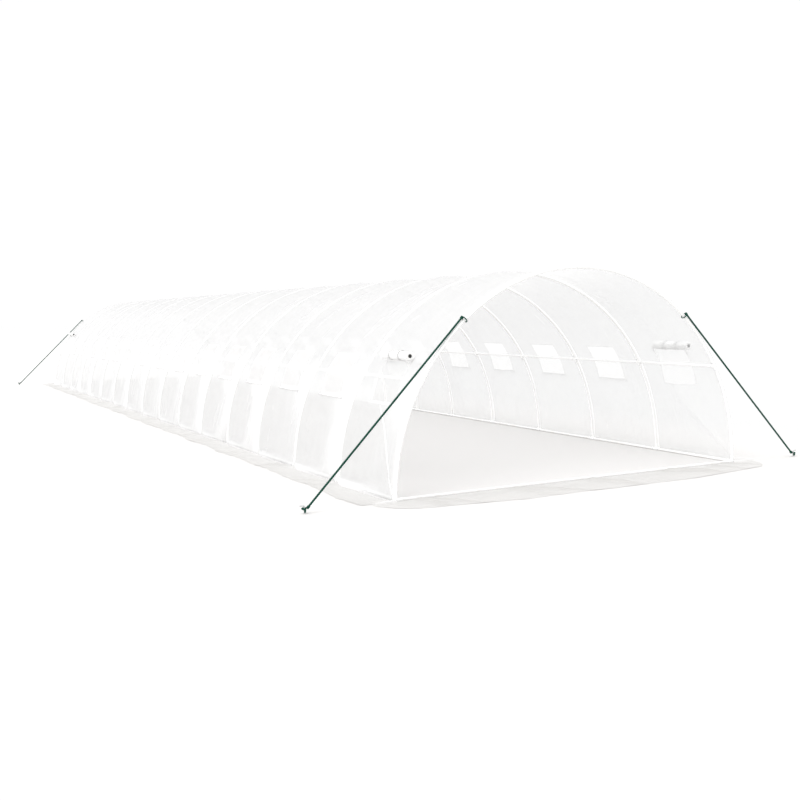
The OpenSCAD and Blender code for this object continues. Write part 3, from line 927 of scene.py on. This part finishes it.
# Guy ropes
# Three-strand polypropylene rope, dark green, drawn taut from an eye round each end hoop to its peg.
# The lower end goes round the peg and hangs down beside it, and thin twine whips the rope at both ends.
rope_r = 0.010
rope_lay = 0.062
rope_dark = (0.002, 0.036, 0.022, 1)
rope_light = (0.008, 0.080, 0.054, 1)
whipping_r = 0.0022
whipping_turns = 5
whipping_run = (-0.002, 0.022)
rope_lap = 0.004
seat_gap = 0.0003
eye_slack = 0.008
eye_gap = 0.12
peg_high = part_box("ground_pegs")[1]
peg_r = 0.006
peg_arm = 0.040
peg_x = peg_high[0] - peg_arm
peg_y = peg_high[1] - peg_r
hoop_eye_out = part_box("wall_film_right")[1][0] + eye_slack + rope_r - hoop_r
hoop_eye_in = tube_r + seat_gap + rope_r
hoop_eye_r = 0.5 * (hoop_eye_out + hoop_eye_in)
rope_low, rope_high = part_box("guy_rope_front_right")
knot_r = 0.016
rope_foot_z = rope_low[2] + knot_r
peg_wind_r = peg_r + seat_gap + rope_r
rope_foot = Vector((peg_x - peg_wind_r - rope_r, 0, rope_foot_z))
rope_head_z = rope_high[2] - knot_r
head_r = hoop_r + hoop_eye_out
rope_angle = math.asin((rope_head_z - axis_z) / head_r)
rope_head = Vector((head_r * math.cos(rope_angle), 0, rope_head_z))

rope_finish, start = new_finish("green_rope")
place = start.node("TexCoord", out="Object")
fibres = start.node("TexNoise", None, {"Vector": place, "Scale": 900.0, "Detail": 2.0}, "Fac")
faded = start.node("TexNoise", None, {"Vector": place, "Scale": 14.0, "Detail": 3.0}, "Fac")
fibre_bump = start.node("Bump", None, {"Height": fibres, "Strength": 0.5, "Distance": 0.0008}, "Normal")
surface(rope_finish, {
    "Base Color": (fibres * 0.5 + faded * 0.5).mix(rope_dark, rope_light),
    "Roughness": 0.6 + fibres * 0.2,
    "Specular IOR Level": 0.2,
    "Normal": fibre_bump,
})


def strand(path, radius, sides_round=8):
    """Points and faces of a closed round strand swept along points, without twist."""
    path = np.asarray(path, float)
    ahead = np.gradient(path, axis=0)
    ahead /= np.linalg.norm(ahead, axis=1, keepdims=True)
    first = np.cross(ahead[0], (0.3, 0.9, 0.2))
    first /= np.linalg.norm(first)
    normals = [first]
    for step in ahead[1:]:
        carried = normals[-1] - step * np.dot(normals[-1], step)
        normals.append(carried / np.linalg.norm(carried))
    normals = np.array(normals)
    others = np.cross(ahead, normals)
    turns = 2 * math.pi * np.arange(sides_round) / sides_round
    rings = path[:, None] + radius * (
        np.cos(turns)[None, :, None] * normals[:, None] + np.sin(turns)[None, :, None] * others[:, None]
    )
    count = len(path)
    faces = []
    for i in range(count - 1):
        for k in range(sides_round):
            here = i * sides_round + k
            beside = i * sides_round + (k + 1) % sides_round
            faces.append((here, beside, beside + sides_round, here + sides_round))
    faces.append(tuple(reversed(range(sides_round))))
    faces.append(tuple((count - 1) * sides_round + k for k in range(sides_round)))
    return rings.reshape(-1, 3), faces


def laid_rope(path):
    """Three strands twisted round a path, as closed shapes."""
    path = np.asarray(path, float)
    travelled = np.append(0, np.cumsum(np.linalg.norm(np.diff(path, axis=0), axis=1)))
    count = max(int(travelled[-1] / rope_lay * 13), 8)
    stations = np.linspace(0, travelled[-1], count)
    line = np.stack([np.interp(stations, travelled, path[:, k]) for k in range(3)], -1)
    ahead = np.gradient(line, axis=0)
    ahead /= np.linalg.norm(ahead, axis=1, keepdims=True)
    side_axis = np.cross(ahead, (0.1, 1.0, 0.05))
    side_axis /= np.linalg.norm(side_axis, axis=1, keepdims=True)
    other_axis = np.cross(ahead, side_axis)
    strands = []
    for k in range(3):
        turn = 2 * math.pi * (stations / rope_lay + k / 3)[:, None]
        offset = 0.52 * rope_r * (np.cos(turn) * side_axis + np.sin(turn) * other_axis)
        strands.append(strand(line + offset, 0.48 * rope_r))
    return strands


run = (rope_head - rope_foot).normalized()
run_side = run.cross(Vector((0, 1, 0)))
out_at_eye = Vector((math.cos(rope_angle), 0, math.sin(rope_angle)))
eye_middle = Vector((0, 0, axis_z)) + out_at_eye * (hoop_r + hoop_eye_out - hoop_eye_r)
eye_turns = np.linspace(eye_gap, 2 * math.pi - eye_gap, 60)
along_y = Vector((0, 1, 0))
eye_path = [eye_middle + hoop_eye_r * (math.cos(t) * out_at_eye + math.sin(t) * along_y) for t in eye_turns]
wind_angle = 2 * math.pi * 0.75
wind_drop = 0.004
tail_top_z = rope_foot_z - 0.006
tail_end_z = rope_r + 0.001
wind_turn = np.append(np.linspace(0, wind_angle, 50), np.full(20, wind_angle))
wind_z = np.append(
    np.linspace(rope_foot_z, rope_foot_z - wind_drop, 50),
    np.linspace(tail_top_z, tail_end_z, 20),
)
coil_turn = np.linspace(0, 2 * math.pi * whipping_turns, 110)[:, None]
coil_advance = np.linspace(*whipping_run, 110)[:, None]
for end, end_name in ((-1, "front"), (1, "back")):
    for side in (0, 1):
        name = f"guy_rope_{end_name}_{sides[1 - side]}"
        mirror = np.array([-1 if side else 1, 1, 1])
        foot_place = np.array([0, end * peg_y, 0])
        head_place = np.array([0, end * end_y, 0])
        run_ends = np.array([rope_foot - rope_lap * run, rope_head + rope_lap * run])
        run_path = run_ends * mirror + np.array([foot_place, head_place])
        wind_path = np.stack([
            peg_x - peg_wind_r * np.cos(wind_turn), peg_wind_r * np.sin(wind_turn), wind_z,
        ], -1) * mirror + foot_place
        shapes = laid_rope(run_path) + laid_rope(wind_path)
        shapes.append(strand(np.array(eye_path) * mirror + head_place, 0.5 * rope_r))
        for whipped, towards, offset in ((rope_foot, run, foot_place), (rope_head, -run, head_place)):
            centre = np.array(whipped)[None] + np.array(towards)[None] * coil_advance
            coil = centre + (rope_r + 0.8 * whipping_r) * (
                np.cos(coil_turn) * np.array(run_side)[None] + np.sin(coil_turn) * np.array((0, 1, 0))[None]
            )
            shapes.append(strand(coil * mirror + offset, whipping_r, 6))
        rope = mesh_piece(f"{name}_strands", *joined(shapes), rope_finish)
        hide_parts(name)


# Pegs and eyelets
# Bent pegs of galvanised round bar, and flat zinc rings pressed into the film for the rope eyes.
peg_dull = (0.50, 0.51, 0.52, 1)
peg_bright = (0.72, 0.72, 0.72, 1)

zinc_finish, start = new_finish("galvanised")
place = start.node("TexCoord", out="Object")
flecks = start.node("TexVoronoi", {"feature": "F1"}, {"Vector": place, "Scale": 240.0}, "Color")
fleck_tone = start.node("SeparateColor", None, {"Color": flecks}, "Red")
worn = start.node("TexNoise", None, {"Vector": place, "Scale": 60.0, "Detail": 4.0}, "Fac")
surface(zinc_finish, {
    "Base Color": (fleck_tone * 0.5 + worn * 0.5).mix(peg_dull, peg_bright),
    "Metallic": 0.75,
    "Roughness": 0.32 + worn * 0.25,
})
dress(["ground_pegs", "rope_eyelets"], zinc_finish)
